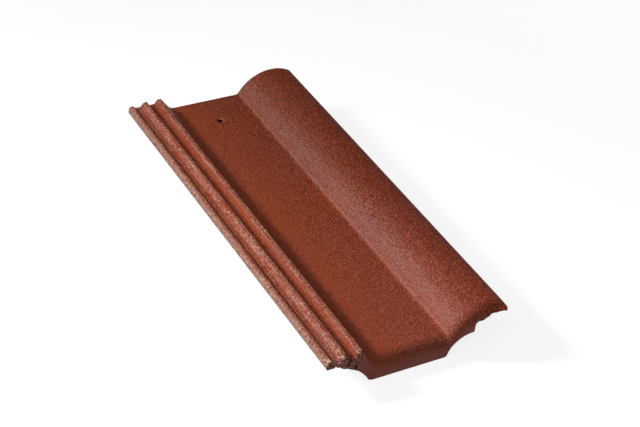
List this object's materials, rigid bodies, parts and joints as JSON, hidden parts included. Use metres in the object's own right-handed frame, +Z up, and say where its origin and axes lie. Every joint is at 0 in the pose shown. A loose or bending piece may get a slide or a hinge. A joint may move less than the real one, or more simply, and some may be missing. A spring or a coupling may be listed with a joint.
{
  "type": "half roof tile",
  "caption": "Interlocking half roof tile of red-brown concrete: ribbed interlock, flat pan with a nail hole, arched roll with overlock, rounded nose and a nib underneath.",
  "frame": {"origin": "middle of the tile's outline in plan, on the floor that it lies on", "axes": "+X across the tile from the interlock ribs to the roll, +Y along the tile from the nose to the head, +Z up out of the weathered face"},
  "size_m": [0.1838, 0.42, 0.0427],
  "materials": {
    "concrete": "coloured concrete with a satin face and fine sandy grain"
  },
  "bodies": {
    "root": {"tile": "concrete"}
  },
  "joints": []
}
